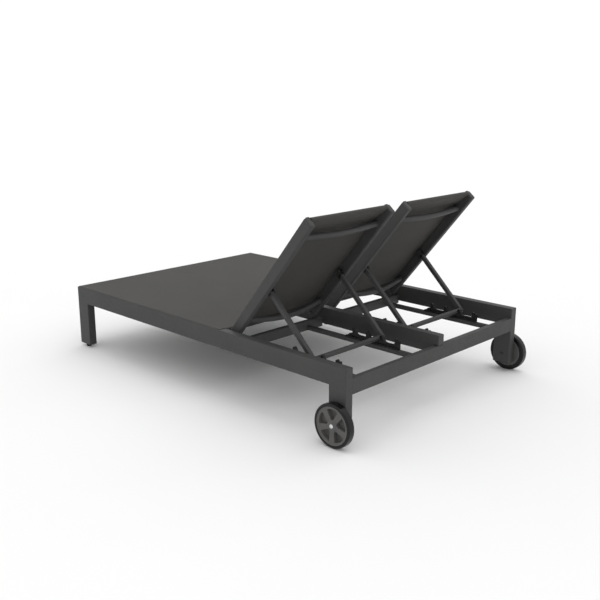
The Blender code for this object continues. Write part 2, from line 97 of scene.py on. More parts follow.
# ---------------------------- sizes the looks add (metres)
TUBE_EDGE = 0.004           # rounding of the bed frame's tubes, as in the CAD
BACK_EDGE = 0.007           # rounding of the backrest rails
BAR_EDGE = 0.0022           # rounding of the bars under the racks
OVERLAP = 0.0043            # a welded tube reaches this far into its neighbour's rounding
BAR_REACH = 0.002           # and a beam or bar this far, against a flat face
CLOTH = 0.0014              # sling fabric
CLOTH_MARGIN = 0.008        # seat cloth that reaches past the CAD sling, over the rails
CENTRE_GAP = 0.0004         # half the seam between the two seats
SEAT_SAG = 0.0030           # belly of a seat sling
BACK_SAG = 0.0035
EDGE_ROLL = 0.004           # strip along a sling's edge that turns down
EDGE_DROP = 0.0006
HEM = 0.012                 # stitch line in from a sling's edge
HEM_GAP = 0.0004            # between a back sling's hems and the rails
STITCH_PITCH = 0.0046
WEAVE_PITCH = 0.0022        # of the yarns
WELD = 0.0017               # radius of a weld bead
GAP = 0.0003                # clearance or overlap of pieces that touch
SINK = 0.0010               # a round tube reaches this far into the piece that it is welded to
FINGERS = 4                 # of each rack
FINGER_PITCH = 0.085
FIRST_FINGER = 0.033        # from the rack's foot end to its first finger
FINGER_HEIGHT = 0.0295      # above the seats for the crossbar
BAR_GAP = 0.0004           # between the crossbar and its seats
FINGER_TIP = 0.0078         # rounding of a finger's tip
FINGER_WIDTH = 0.0150
FINGER_OFFSET = 0.0045      # towards the bed rail beside the rack
RACK_STOP = 0.030           # from the last finger to the end of the rack
STRIP_HEIGHT = 0.0085       # of the strip that a rack's fingers stand on
PLATE_RADIUS = 0.0132       # rounded foot of a prop bracket's plates
POCKET_DEPTH = 0.0200       # of the five pockets in a wheel's hub
FRONT_EDGE_SHARE = 0.25     # rounding of the backrest rails' front edges, as a share of BACK_EDGE

# ---------------------------- studio light
BRIGHT_SIDE = Vector((-0.55, -0.40, 0.75))
WORLD_SPREAD = (-0.35, 0.55)        # cosines from BRIGHT_SIDE between which the light changes
WORLD_LEVELS = (0.88, 1.02)         # away from BRIGHT_SIDE and towards it
KEY_FROM = Vector((-0.10, 0.14, 1.0))
KEY_SPREAD = 35.0           # degrees
KEY_STRENGTH = 0.38
FLOOR_FADE = (3.0, 9.0)     # metres from the object


# ---------------------------- shader helpers
class Look:
    """A material made of nodes, and the record's material slot that it stands for."""

    def __init__(self, title, slot):
        self.slot = slot
        self.material = bpy.data.materials.new(title)
        self.material.use_nodes = True
        self.tree = self.material.node_tree
        self.shader = self.tree.nodes["Principled BSDF"]
        self.place = self.node("ShaderNodeTexCoord").outputs["Object"]

    def node(self, kind, **settings):
        made = self.tree.nodes.new(kind)
        for key, value in settings.items():
            setattr(made, key, value)
        return made

    def feed(self, socket, value):
        """Links a socket to another node's output, or sets it to a number."""
        if isinstance(value, bpy.types.NodeSocket):
            self.tree.links.new(value, socket)
        else:
            socket.default_value = value

    def feed_all(self, made, *values):
        """Feeds a node's inputs in order; returns its first output."""
        for socket, value in zip(made.inputs, values):
            self.feed(socket, value)
        return made.outputs[0]

    def math(self, operation, a, b=0.0, c=0.0):
        return self.feed_all(self.node("ShaderNodeMath", operation=operation), a, b, c)

    def noise(self, scale, detail=2.0, stretch=(1, 1, 1)):
        mapping = self.node("ShaderNodeMapping")
        self.feed(mapping.inputs["Vector"], self.place)
        mapping.inputs["Scale"].default_value = stretch
        made = self.node("ShaderNodeTexNoise")
        self.feed(made.inputs["Vector"], mapping.outputs[0])
        made.inputs["Scale"].default_value = scale
        made.inputs["Detail"].default_value = detail
        return made.outputs[0]

    def range(self, value, low, high, to_low=0.0, to_high=1.0):
        made = self.node("ShaderNodeMapRange")
        return self.feed_all(made, value, low, high, to_low, to_high)

    def mix(self, factor, a, b):
        """Colour a at factor 0 and b at factor 1; a colour is an output or (r, g, b)."""
        made = self.node("ShaderNodeMix", data_type="RGBA")
        self.feed(made.inputs[0], factor)
        for socket, value in ((made.inputs[6], a), (made.inputs[7], b)):
            self.feed(socket, (*value, 1.0) if isinstance(value, tuple) else value)
        return made.outputs[2]

    def layer(self, mask, share, under, over):
        """Colour `over` laid on `under` where the mask is 1, as strong as its share."""
        return self.mix(self.math("MULTIPLY", mask, share), under, over)

    def bump(self, height, distance):
        made = self.node("ShaderNodeBump")
        made.inputs["Distance"].default_value = distance
        self.feed(made.inputs["Height"], height)
        return made.outputs[0]

    def edges(self, radius):
        """0 on flat faces and up to 1 along convex edges about that wide."""
        rounded = self.node("ShaderNodeBevel", samples=4)
        rounded.inputs["Radius"].default_value = radius
        flat = self.node("ShaderNodeNewGeometry").outputs["Normal"]
        likeness = self.node("ShaderNodeVectorMath", operation="DOT_PRODUCT")
        self.feed_all(likeness, rounded.outputs[0], flat)
        return self.range(likeness.outputs["Value"], 0.995, 0.90)

    def set(self, **values):
        """Values of the shader's own sockets: base_color=..., roughness=..."""
        for key, value in values.items():
            socket = " ".join(w.upper() if w == "ior" else w.capitalize() for w in key.split("_"))
            self.feed(self.shader.inputs[socket], value)
        return self


def grey(value, warmth=0.0):
    """A near-neutral colour; warmth above 0 leans it towards brown."""
    return (value * (1 + warmth), value, value * (1 - 1.6 * warmth))


# ---------------------------- materials
def powder_coat():
    """Matt charcoal with fine specks, faint streaks, and edges painted lighter in patches: partly
    wear, partly a painted highlight.
    """
    look = Look("charcoal_powder_coat", "frame_coat")
    cloudy = look.range(look.noise(5.0, 3.0), 0.3, 0.7)
    streaky = look.range(look.noise(18.0, 2.0, (1.0, 0.06, 1.0)), 0.35, 0.65)
    body = look.mix(cloudy, grey(0.044), grey(0.052, 0.01))
    body = look.layer(streaky, 0.25, body, grey(0.060, 0.01))
    speck = look.range(look.noise(520.0, 1.0), 0.62, 0.72)
    body = look.layer(speck, 0.35, body, grey(0.085))
    # Convex edges painted lighter in patches: partly worn coat, partly a painted edge highlight.
    worn_and_lit_edges = look.math("MULTIPLY", look.edges(0.0016), look.range(look.noise(40.0), 0.42, 0.6))
    body = look.layer(worn_and_lit_edges, 0.30, body, grey(0.14))
    peel = look.noise(1100.0, 2.0)
    roughness = look.range(look.noise(90.0, 3.0), 0.3, 0.7, 0.50, 0.62)
    return look.set(base_color=body, roughness=roughness, specular_ior_level=0.26,
                    normal=look.bump(peel, 0.00005))


def sling_cloth():
    """Coated yarns in a two-over-two weave: each crossing shows the warp or the weft on top."""
    look = Look("taupe_sling_weave", "sling")
    parts = look.node("ShaderNodeSeparateXYZ")
    look.feed(parts.inputs[0], look.place)
    slub = look.math("MULTIPLY", look.noise(160.0, 2.0, (1.0, 0.15, 1.0)), 0.5)
    across = look.math("MULTIPLY_ADD", parts.outputs["X"], math.pi / WEAVE_PITCH, slub)
    along = look.math("MULTIPLY", parts.outputs["Y"], math.pi / WEAVE_PITCH)
    warp = look.math("ABSOLUTE", look.math("SINE", across))
    weft = look.math("ABSOLUTE", look.math("SINE", along))
    cell = look.math("MULTIPLY", look.math("SINE", look.math("MULTIPLY", across, 0.5)),
                     look.math("SINE", look.math("MULTIPLY", along, 0.5)))
    over = look.range(cell, -0.12, 0.12)
    height = look.math("MULTIPLY_ADD", over, look.math("SUBTRACT", warp, weft), weft)
    yarn = look.mix(over, grey(0.031, 0.055), grey(0.047, 0.050))
    # Darker where the yarn height is low: painted shade in the hollows between the yarns.
    yarn = look.mix(look.range(height, 0.05, 0.55, 0.85, 0.0), yarn, grey(0.016, 0.04))
    fleck = look.range(look.noise(420.0, 2.0, (1.0, 0.25, 1.0)), 0.55, 0.75)
    yarn = look.layer(fleck, 0.35, yarn, grey(0.090, 0.04))
    faded = look.range(look.noise(3.2, 3.0), 0.35, 0.7)
    yarn = look.layer(faded, 0.16, yarn, grey(0.072, 0.05))
    roughness = look.range(height, 0.0, 1.0, 0.86, 0.66)
    return look.set(base_color=yarn, roughness=roughness, specular_ior_level=0.22,
                    sheen_weight=0.06, sheen_roughness=0.5, normal=look.bump(height, 0.00025))


def hem_thread():
    look = Look("light_hem_thread", "sling")
    twist = look.range(look.noise(900.0, 1.0), 0.4, 0.6)
    return look.set(base_color=look.mix(twist, grey(0.11, 0.04), grey(0.20, 0.03)), roughness=0.7,
                    normal=look.bump(twist, 0.0001))


def black_nylon():
    look = Look("black_nylon", "black_nylon")
    grain = look.noise(800.0, 3.0)
    scuffed = look.math("MULTIPLY", look.edges(0.0012), look.range(look.noise(60.0), 0.4, 0.65))
    colour = look.mix(look.range(look.noise(12.0), 0.3, 0.7), grey(0.0045), grey(0.007))
    colour = look.layer(scuffed, 0.3, colour, grey(0.03))
    return look.set(base_color=colour, roughness=look.range(grain, 0.3, 0.7, 0.42, 0.6),
                    specular_ior_level=0.30, normal=look.bump(grain, 0.00006))


def tyre_rubber():
    look = Look("tyre_rubber", "tyre")
    dusty = look.range(look.noise(26.0, 4.0), 0.5, 0.8)
    colour = look.layer(dusty, 0.4, grey(0.003), grey(0.006, 0.03))
    pores = look.noise(1500.0, 2.0)
    return look.set(base_color=colour, roughness=look.range(dusty, 0.0, 1.0, 0.22, 0.34),
                    specular_ior_level=0.30, normal=look.bump(pores, 0.00004))


def hub_plastic():
    look = Look("grey_hub_plastic", "hub_plastic")
    flow = look.range(look.noise(9.0, 2.0), 0.3, 0.7)
    colour = look.mix(flow, grey(0.064, 0.025), grey(0.080, 0.03))
    # Convex edges painted much lighter: a painted highlight on the rim lip and the pockets' edges.
    colour = look.layer(look.edges(0.0014), 0.8, colour, grey(0.26, 0.01))
    grain = look.noise(900.0, 2.0)
    return look.set(base_color=colour, roughness=look.range(grain, 0.3, 0.7, 0.38, 0.5),
                    normal=look.bump(grain, 0.00005))


def axle_chrome():
    look = Look("axle_chrome", "axle_chrome")
    rings = look.noise(300.0, 2.0, (0.1, 1.0, 1.0))
    tint = look.mix(look.range(look.noise(150.0), 0.3, 0.7), grey(0.62), grey(0.78))
    return look.set(base_color=tint, metallic=1.0, roughness=look.range(rings, 0.3, 0.7, 0.12, 0.26),
                    normal=look.bump(rings, 0.00002))


def dark_steel():
    look = Look("blackened_steel", "dark_steel")
    patchy = look.range(look.noise(70.0, 3.0), 0.35, 0.65)
    colour = look.mix(patchy, grey(0.030), grey(0.048, 0.01))
    # Convex edges painted lighter: a painted edge highlight.
    colour = look.layer(look.edges(0.0010), 0.5, colour, grey(0.13))
    return look.set(base_color=colour, metallic=0.35, roughness=look.range(patchy, 0, 1, 0.36, 0.5),
                    normal=look.bump(look.noise(600.0), 0.00004))


COAT, CLOTH_LOOK, THREAD = powder_coat(), sling_cloth(), hem_thread()
NYLON, RUBBER, HUB = black_nylon(), tyre_rubber(), hub_plastic()
CHROME, STEEL = axle_chrome(), dark_steel()


# ---------------------------- mesh helpers
def new_object(title, data):
    made = bpy.data.objects.new(title, data)
    bpy.context.scene.collection.objects.link(made)
    return made


def new_mesh(title, bm):
    mesh = bpy.data.meshes.new(title)
    bm.to_mesh(mesh)
    bm.free()
    return mesh


def add_piece(title, bm, look, body, matrix=WORLD, replaces=(), bevel=None, smooth=40):
    """Makes a piece of a mesh and rides it on a body; bevel = (width, segments) of its rounding."""
    bmesh.ops.recalc_face_normals(bm, faces=bm.faces)
    mesh = new_mesh(title, bm)
    mesh.shade_smooth()
    if not bevel:
        mesh.set_sharp_from_angle(angle=math.radians(smooth))
    mesh.materials.append(look.material)
    piece = new_object(title, mesh)
    piece.matrix_world = matrix
    if bevel:
        round_edges(piece, *bevel, smooth)
        weights = piece.modifiers.new("even_faces", "WEIGHTED_NORMAL")
        weights.mode = "FACE_AREA"
        weights.weight = 80
    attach(piece, body)
    if replaces:
        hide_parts(*replaces)
    return piece


def round_edges(piece, width, segments, angle):
    """Rounds the edges whose faces meet at more than an angle, in degrees."""
    rounding = piece.modifiers.new("rounding", "BEVEL")
    rounding.width, rounding.segments = width, segments
    rounding.limit_method, rounding.angle_limit = "ANGLE", math.radians(angle)


def box_mesh(low, high):
    bm = bmesh.new()
    bmesh.ops.create_cube(bm, size=1.0)
    for v in bm.verts:
        v.co = [a if c < 0 else b for a, b, c in zip(low, high, v.co)]
    return bm


def prism_mesh(outline, x_low, x_high):
    """Closed solid with an outline of (y, z) points, extruded along X."""
    return column_mesh([[(x, y, z) for y, z in outline] for x in (x_low, x_high)])


def arc(centre, radius, start, end, steps):
    """Points of an arc, angles in degrees from the first axis towards the second."""
    angles = [math.radians(start + (end - start) * i / steps) for i in range(steps + 1)]
    return [(centre[0] + radius * math.cos(a), centre[1] + radius * math.sin(a)) for a in angles]


def circle(steps):
    """Angles of evenly spaced points round a circle."""
    return [2 * math.pi * i / steps for i in range(steps)]


def skin(bm, rings, closed=False):
    """Joins rings of vertices one to the next; a ring of one vertex closes a tip."""
    count = max(len(ring) for ring in rings)
    pairs = list(zip(rings, rings[1:]))
    if closed:
        pairs.append((rings[-1], rings[0]))
    for first, second in pairs:
        for i in range(count):
            j = (i + 1) % count
            corners = [first[i % len(first)], first[j % len(first)],
                       second[j % len(second)], second[i % len(second)]]
            bm.faces.new(list(dict.fromkeys(corners)))


def column_mesh(outlines):
    """Closed solid between two outlines of as many points each."""
    bm = bmesh.new()
    ends = [[bm.verts.new(point) for point in outline] for outline in outlines]
    skin(bm, ends)
    for ring in ends:
        bm.faces.new(ring)
    return bm


def lathe_mesh(profile, centre, flip=1, axis="x", segments=96):
    """Solid of revolution; profile holds (along, radius) points, closed at the axis or as a ring."""
    axis_index = "xyz".index(axis)
    across = [i for i in range(3) if i != axis_index]
    bm = bmesh.new()
    rings = []
    for along, radius in profile:
        place = list(centre)
        place[axis_index] += along * flip
        ring = []
        for a in circle(segments if radius else 1):
            point = list(place)
            point[across[0]] += radius * math.cos(a)
            point[across[1]] += radius * math.sin(a)
            ring.append(bm.verts.new(point))
        rings.append(ring)
    skin(bm, rings, closed=profile[0][1] != 0)
    return bm


def tube_mesh(x_low, x_high, y, z, radius, bow=0.0, wall=0.0022, sides=40):
    """Round tube across a bay, bowed by `bow` towards -Z at its middle."""
    stations = 48 if bow else 1
    bm = bmesh.new()

    def ring(t, ring_radius):
        drop = bow * math.sin(math.pi * t)
        return [bm.verts.new((x_low + (x_high - x_low) * t, y + ring_radius * math.cos(a),
                              z - drop + ring_radius * math.sin(a))) for a in circle(sides)]

    outside = [ring(i / stations, radius) for i in range(stations + 1)]
    inside = [ring(i / stations, radius - wall) for i in range(stations + 1)]
    skin(bm, outside + inside[::-1], closed=True)
    return bm


def bead_mesh(path, radius, closed=False, ripple=0.16, sides=8):
    """Weld bead along a path of close points, with the ripples of a hand-laid weld."""
    bm = bmesh.new()
    rings = []
    count = len(path)
    for i, point in enumerate(path):
        ahead = path[(i + 1) % count] if closed else path[min(i + 1, count - 1)]
        behind = path[i - 1] if closed else path[max(i - 1, 0)]
        along = (ahead - behind).normalized()
        side = along.orthogonal().normalized()
        up = along.cross(side)
        size = radius * (1 + ripple * math.sin(i * math.pi / 2))
        rings.append([bm.verts.new(point + size * (side * math.cos(a) + up * math.sin(a)))
                      for a in circle(sides)])
    if not closed:
        rings = [[bm.verts.new(path[0])], *rings, [bm.verts.new(path[-1])]]
    skin(bm, rings, closed)
    return bm


def merge(target, source):
    """Adds one bmesh's geometry to another and frees it."""
    mesh = new_mesh("joining", source)
    target.from_mesh(mesh)
    bpy.data.meshes.remove(mesh)


def ring_weld(centre, radius):
    """Bead round a tube that runs along X and ends on a flat face."""
    path = [centre + Vector((0, radius * math.cos(a), radius * math.sin(a))) for a in circle(56)]
    return bead_mesh(path, WELD, closed=True)


def line_weld(start, end):
    start, end = Vector(start), Vector(end)
    steps = max(4, int((end - start).length / 0.0022))
    return bead_mesh([start.lerp(end, i / steps) for i in range(steps + 1)], WELD)


def mirrored(low, high, side):
    return (low, high) if side > 0 else (-high, -low)


# ---------------------------- cloth
def eased(steps):
    """Shares from 0 to 1, closer together near the two ends."""
    return [0.5 - 0.5 * math.cos(math.pi * i / steps) for i in range(steps + 1)]


def cloth_mesh(path, x_low, x_high, drop, columns=72):
    """Closed sheet swept along X: path holds (y, z, normal_y, normal_z) of its upper face.

    drop(s, t) lowers a point against its normal, s across and t along, both 0 to 1.
    """
    bm = bmesh.new()
    faces = []
    for depth in (0.0, CLOTH):
        grid = []
        for j, (y, z, ny, nz) in enumerate(path):
            row = []
            for s in eased(columns):
                away = depth + drop(s, j / (len(path) - 1))
                row.append(bm.verts.new((x_low + (x_high - x_low) * s,
                                         y - ny * away, z - nz * away)))
            grid.append(row)
        faces.append(grid)
    for grid in faces:
        for low_row, high_row in zip(grid, grid[1:]):
            for i in range(columns):
                bm.faces.new((low_row[i], low_row[i + 1], high_row[i + 1], high_row[i]))
    skin(bm, [grid[0] + [row[-1] for row in grid[1:]] + grid[-1][-2::-1]
              + [row[0] for row in grid[-2:0:-1]] for grid in faces])
    return bm


def stretched(width, length, sag, level_side=None):
    """Drop of a sling held on all its sides: a slight belly, and edges that turn down.

    The far end, at t = 1, stays level, since the cloth goes on round a bar there.  So does the
    side at s = level_side, where two slings meet.
    """
    def drop(s, t):
        belly = sag * (math.sin(math.pi * s) ** 0.9) * (math.sin(math.pi * t) ** 0.6)
        from_edge = min(s, 1 - s) * width
        from_end = min(t, 1 - t) * length
        free = [t * length] + [abs(s - side) * width for side in (0, 1) if side != level_side]
        roll = max(0.0, 1 - min(free) / EDGE_ROLL)
        pull = 0.00018 * math.sin(from_edge * 90) * math.exp(-from_end * 16)
        inside = min(1.0, from_end / 0.03, from_edge / 0.03)
        return belly + EDGE_DROP * roll * roll + pull * inside
    return drop


def flat_path(y_low, y_high, z, steps=96):
    """Path of a flat sheet whose face looks up Z."""
    return [(y_low + (y_high - y_low) * t, z, 0.0, 1.0) for t in eased(steps)]


def stitches(piece, start, end, body, matrix=WORLD):
    """Row of short thread stitches between two points, lying on a face that looks up Z."""
    start, end, up = Vector(start), Vector(end), Vector((0, 0, 1))
    along = (end - start).normalized()
    side = along.cross(up)
    half_length, half_width, height = STITCH_PITCH * 0.36, 0.00042, 0.00036
    bm = bmesh.new()
    for i in range(int((end - start).length / STITCH_PITCH)):
        centre = start + along * STITCH_PITCH * (i + 0.5)
        rings = []
        for place, size in ((-1.0, 0.0), (-0.72, 0.75), (0.0, 1.0), (0.72, 0.75), (1.0, 0.0)):
            point = centre + along * half_length * place
            rings.append([bm.verts.new(point + size * (side * half_width * math.cos(a)
                                                       + up * height * math.sin(a)))
                          for a in circle(6 if size else 1)])
        skin(bm, rings)
    return add_piece(piece, bm, THREAD, body, matrix, smooth=180)


# ---------------------------- bed frame
def coated_tube(node, before=(0, 0, 0), after=(0, 0, 0), bevel=(TUBE_EDGE, 5)):
    """Square tube in place of its CAD node, longer by `before` and `after` at its two ends."""
    low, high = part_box(node)
    add_piece(node + "_coated", box_mesh(low - Vector(before), high + Vector(after)), COAT, BED,
              replaces=[node], bevel=bevel)


def build_bed_tubes():
    """Every square tube of the bed, with its welded ends run into the next tube's rounding."""
    over_beam, over_bar, over_rail = (BAR_REACH, 0, 0), (0, BAR_REACH, 0), (OVERLAP, 0, 0)
    for side_name, _ in SIDES:
        coated_tube(side_name + "_side_rail")
        coated_tube(side_name + "_foot_leg", after=(0, 0, OVERLAP))
        coated_tube(side_name + "_head_leg", after=(0, 0, OVERLAP))
        coated_tube(side_name + "_hinge_beam", over_beam, over_beam)
        for position in POSITIONS:
            coated_tube(name(side_name, position, "rack_bar"), over_bar, over_bar, (BAR_EDGE, 4))
    for node in ("foot_rail", "head_rail"):
        coated_tube(node, over_rail, over_rail)
    build_centre_rail()
    build_bed_welds()


def build_centre_rail():
    """Centre rail, stepped over the head rail at its end."""
    low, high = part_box("centre_rail")
    head_low, head_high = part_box("head_rail")
    start, step_y, step_z = low.y - OVERLAP, head_low.y - GAP, head_high.z + GAP
    outline = [(start, low.z), (step_y, low.z), (step_y, step_z), (high.y, step_z),
               (high.y, high.z), (start, high.z)]
    add_piece("centre_rail_coated", prism_mesh(outline, low.x, high.x), COAT, BED,
              replaces=["centre_rail"], bevel=(TUBE_EDGE, 5))


def build_bed_welds():
    """Beads where the beams, rack bars and legs meet the rails."""
    bm = bmesh.new()

    def bead(start, end):
        merge(bm, line_weld(start, end))

    for side_name, _ in SIDES:
        low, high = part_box(side_name + "_hinge_beam")
        for x in (low.x, high.x):
            bead((x, low.y + TUBE_EDGE, low.z), (x, high.y - TUBE_EDGE, low.z))
            bead((x, high.y, low.z + TUBE_EDGE), (x, high.y, high.z - TUBE_EDGE))
            bead((x, low.y + TUBE_EDGE, high.z), (x, high.y - TUBE_EDGE, high.z))
        for position in POSITIONS:
            low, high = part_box(name(side_name, position, "rack_bar"))
            for y in (low.y, high.y):
                bead((low.x + BAR_REACH, y, high.z), (high.x - BAR_REACH, y, high.z))
                for x in (low.x, high.x):
                    bead((x, y, low.z + BAR_REACH), (x, y, high.z - BAR_REACH))
        for part in ("foot_leg", "head_leg"):
            low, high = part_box(name(side_name, part))
            y = high.y if part == "foot_leg" else low.y
            bead((low.x + TUBE_EDGE, y, high.z), (high.x - TUBE_EDGE, y, high.z))
    low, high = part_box("head_rail")
    for x in (low.x, high.x):
        bead((x, low.y, low.z + TUBE_EDGE), (x, low.y, high.z - TUBE_EDGE))
        bead((x, low.y + TUBE_EDGE, high.z), (x, high.y - TUBE_EDGE, high.z))
    add_piece("bed_weld_beads", bm, COAT, BED, smooth=60)


def build_glides():
    """Feet with two grooved flanges, plugged into the foot legs."""
    for side_name, _ in SIDES:
        node = side_name + "_foot_glide"
        low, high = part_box(node)
        centre = middle(node)
        radius = (high.x - low.x) / 2
        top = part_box(side_name + "_foot_leg")[0].z
        profile = [(0, 0), (0, radius - 0.0022), (0.0007, radius - 0.0008), (0.0022, radius),
                   (0.0060, radius), (0.0066, radius - 0.0007), (0.0072, radius - 0.0007),
                   (0.0078, radius), (top - 0.0012, radius), (top - 0.0004, radius - 0.0008),
                   (top - 0.0003, 0.0080), (high.z, 0.0074), (high.z, 0)]
        add_piece(node + "_moulded", lathe_mesh(profile, (centre.x, centre.y, 0), axis="z"), NYLON,
                  BED, replaces=[node])


# ---------------------------- seat
def build_seat():
    """Two slings that meet along the middle, with their hems, stitches, rear bars and braces."""
    for side_name, side in SIDES:
        sling = side_name + "_seat_sling"
        low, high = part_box(sling)
        outer = (high.x if side > 0 else -low.x) + CLOTH_MARGIN
        low.x, high.x = mirrored(CENTRE_GAP, outer, side)
        low.y -= CLOTH_MARGIN
        top = high.z - 0.0002
        bar = side_name + "_seat_rear_bar"
        bar_low, bar_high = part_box(bar)
        centre, radius = middle(bar), (bar_high.z - bar_low.z) / 2
        width, length = high.x - low.x, centre.y - low.y
        woven = cloth_mesh(flat_path(low.y, centre.y, top), low.x, high.x,
                           stretched(width, length, SEAT_SAG, 0 if side > 0 else 1))
        cloth = add_piece(sling + "_woven", woven, CLOTH_LOOK, BED, replaces=[sling], smooth=180)
        tube = tube_mesh(bar_low.x - SINK, bar_high.x + SINK, centre.y, centre.z, radius, wall=0.0015)
        add_piece(bar + "_tube", tube, COAT, BED, replaces=[bar])
        folded = wrapped_hem(bar_low.x + 0.003, bar_high.x - 0.003, (centre.y, centre.z),
                             top - centre.z, (90, -80), (centre.y - 0.036, top - 0.0075))
        hem = add_piece(sling + "_rear_hem", folded, CLOTH_LOOK, BED, smooth=180)
        edges = (high.x - HEM, low.x + HEM)[::side]
        for tag, x in zip(("outer", "inner"), edges):
            stitches(name(side_name, "seat", tag, "stitches"), (x, low.y + HEM, top - 0.0002),
                     (x, high.y - HEM, top - 0.0002), BED)
        for tag, y in (("foot", low.y + HEM), ("rear", high.y - 2.2 * HEM)):
            stitches(name(side_name, "seat", tag, "stitches"), (low.x + 2 * HEM, y, top - 0.0006),
                     (high.x - 2 * HEM, y, top - 0.0006), BED)
        build_brace(side_name + "_seat_brace", WORLD, BED)


def wrapped_hem(x_low, x_high, centre, radius, angles, end, columns=60):
    """Cloth round a bar along X: over the arc between two angles, then straight to `end`."""
    start, stop = angles
    path = [(y, z, (y - centre[0]) / radius, (z - centre[1]) / radius)
            for y, z in arc(centre, radius, start, stop, 18)]
    y, z = path[-1][:2]
    run = Vector((end[0] - y, end[1] - z))
    normal = Vector((run.y, -run.x)).normalized()
    if normal.dot(Vector(path[-1][2:])) < 0:
        normal.negate()
    path += [(y + run.x * t, z + run.y * t, normal.x, normal.y) for t in
             [i / 10 for i in range(1, 11)]]
    return cloth_mesh(path, x_low, x_high, lambda s, t: 0.00025 * math.sin(s * 60) * t, columns)


def build_brace(node, matrix, body):
    """Bowed round tube in place of its CAD node, with a weld bead at each end."""
    low, high = local_box(node, matrix)
    radius = (high.y - low.y) / 2
    bow = (high.z - low.z) - 2 * radius
    y, z = (low.y + high.y) / 2, high.z - radius
    add_piece(node + "_tube", tube_mesh(low.x - 0.0012, high.x + 0.0012, y, z, radius, bow),
              COAT, body, matrix, replaces=[node])
    bm = bmesh.new()
    for x in (low.x, high.x):
        merge(bm, ring_weld(Vector((x, y, z)), radius))
    add_piece(node + "_welds", bm, COAT, body, matrix, smooth=60)


# ---------------------------- racks
def rack_outline(base, start, end, seat_height, bar_radius):
    """Side view of a rack: hooked fingers, each with a ramp behind it and the bar's seat before it."""
    top = seat_height + FINGER_HEIGHT
    stop_top, stop_radius = seat_height + 0.0190, 0.0045
    points = [(start, base), (end, base), (end, stop_top)]
    points += arc((end - stop_radius, stop_top), stop_radius, 30, 180, 6)
    points.append((end - 0.0100, seat_height + 0.0120))
    for i in reversed(range(FINGERS)):
        finger = start + FIRST_FINGER + FINGER_PITCH * i
        if i < FINGERS - 1:
            points += [(finger + 0.0400, seat_height), (finger + 0.0345, seat_height + 0.0018),
                       (finger + 0.0290, seat_height + 0.0062)]
        points += arc((finger + 0.0097, top - FINGER_TIP), FINGER_TIP, 48, 190, 10)
        bar_place = (finger - 0.0087, seat_height + bar_radius + BAR_GAP)
        points += arc(bar_place, bar_radius + 0.0006, 22, -90, 12)
        points.append((finger - 0.0150, seat_height))
    points += [(start + 0.0110, seat_height - 0.0060), (start, seat_height - 0.0120)]
    return points


def build_racks():
    """Black moulded racks: a base strip on the bar, and a narrower web of fingers on top."""
    bar_low, bar_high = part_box("left_prop_crossbar")
    bar_radius = (bar_high.z - bar_low.z) / 2
    seat_height = bar_low.z - BAR_GAP
    for side_name, side in SIDES:
        for position in POSITIONS:
            node = name(side_name, position, "rack")
            low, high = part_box(node)
            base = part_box(node + "_bar")[1].z + 0.0002
            shift = side * FINGER_OFFSET * (1 if position == "outer" else -1)
            x = (low.x + high.x) / 2 + shift
            end = low.y + FIRST_FINGER + FINGER_PITCH * (FINGERS - 1) + RACK_STOP
            outline = rack_outline(base, low.y, end, seat_height, bar_radius)
            web = prism_mesh(outline, x - FINGER_WIDTH / 2, x + FINGER_WIDTH / 2)
            add_piece(node + "_fingers", web, NYLON, BED, replaces=[node], bevel=(0.0012, 3),
                      smooth=32)
            strip = box_mesh((low.x + 0.0010, low.y, base),
                             (high.x - 0.0010, end, base + STRIP_HEIGHT))
            add_piece(node + "_base_strip", strip, NYLON, BED, bevel=(0.0016, 3))
            bm = bmesh.new()
            for i in range(FINGERS):
                y = low.y + FIRST_FINGER + FINGER_PITCH * (i - 0.35)
                merge(bm, screw_mesh((x - shift * 2.2, y, base + STRIP_HEIGHT + 0.0001)))
            add_piece(node + "_screws", bm, STEEL, BED, smooth=35)


def screw_mesh(place):
    """Round head with a dished face, upright on Z."""
    profile = [(-0.0020, 0), (-0.0020, 0.0030), (0.0003, 0.0030), (0.0014, 0.00258),
               (0.0009, 0.00174), (0.0009, 0)]
    return lathe_mesh(profile, place, axis="z", segments=36)


# ---------------------------- wheels
def build_wheels():
    """Each wheel is turned about the middle of its tyre's inner face, outwards along X."""
    for side_name, side in SIDES:
        body, tyre = side_name + "_wheel", side_name + "_tyre"
        low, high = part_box(tyre)
        centre = middle(tyre)
        centre.x = low.x if side > 0 else high.x
        width = high.x - low.x
        build_tyre(tyre, side, centre, width, (high.z - low.z) / 2, body)
        build_hub(side_name, side, centre, width, body)
        build_axle(side_name, side, centre, width)


def build_tyre(tyre, side, centre, width, radius, body):
    """Tyre with round shoulders and a fine parting line, stepped where it meets the hub's rim."""
    shoulder, wall, rim, seat, lip = 0.0070, 0.0872, 0.0845, 0.0745, 0.0310
    tread = arc((shoulder, radius - shoulder), shoulder, 180, 90, 12)
    tread += [(width / 2 - 0.0006, radius), (width / 2 - 0.0003, radius - 0.0002)]
    outside = [(width - along, r) for along, r in tread[::-1]]
    step = [(width, wall), (width - 0.0007, wall - 0.0006), (width - 0.0007, rim), (lip, rim),
            (lip, seat), (0.0, seat), (0.0, wall - 0.0014), (0.0, wall)]
    add_piece(tyre + "_rubber", lathe_mesh(tread + outside + step, centre, side, segments=128),
              RUBBER, body, replaces=[tyre], smooth=30)


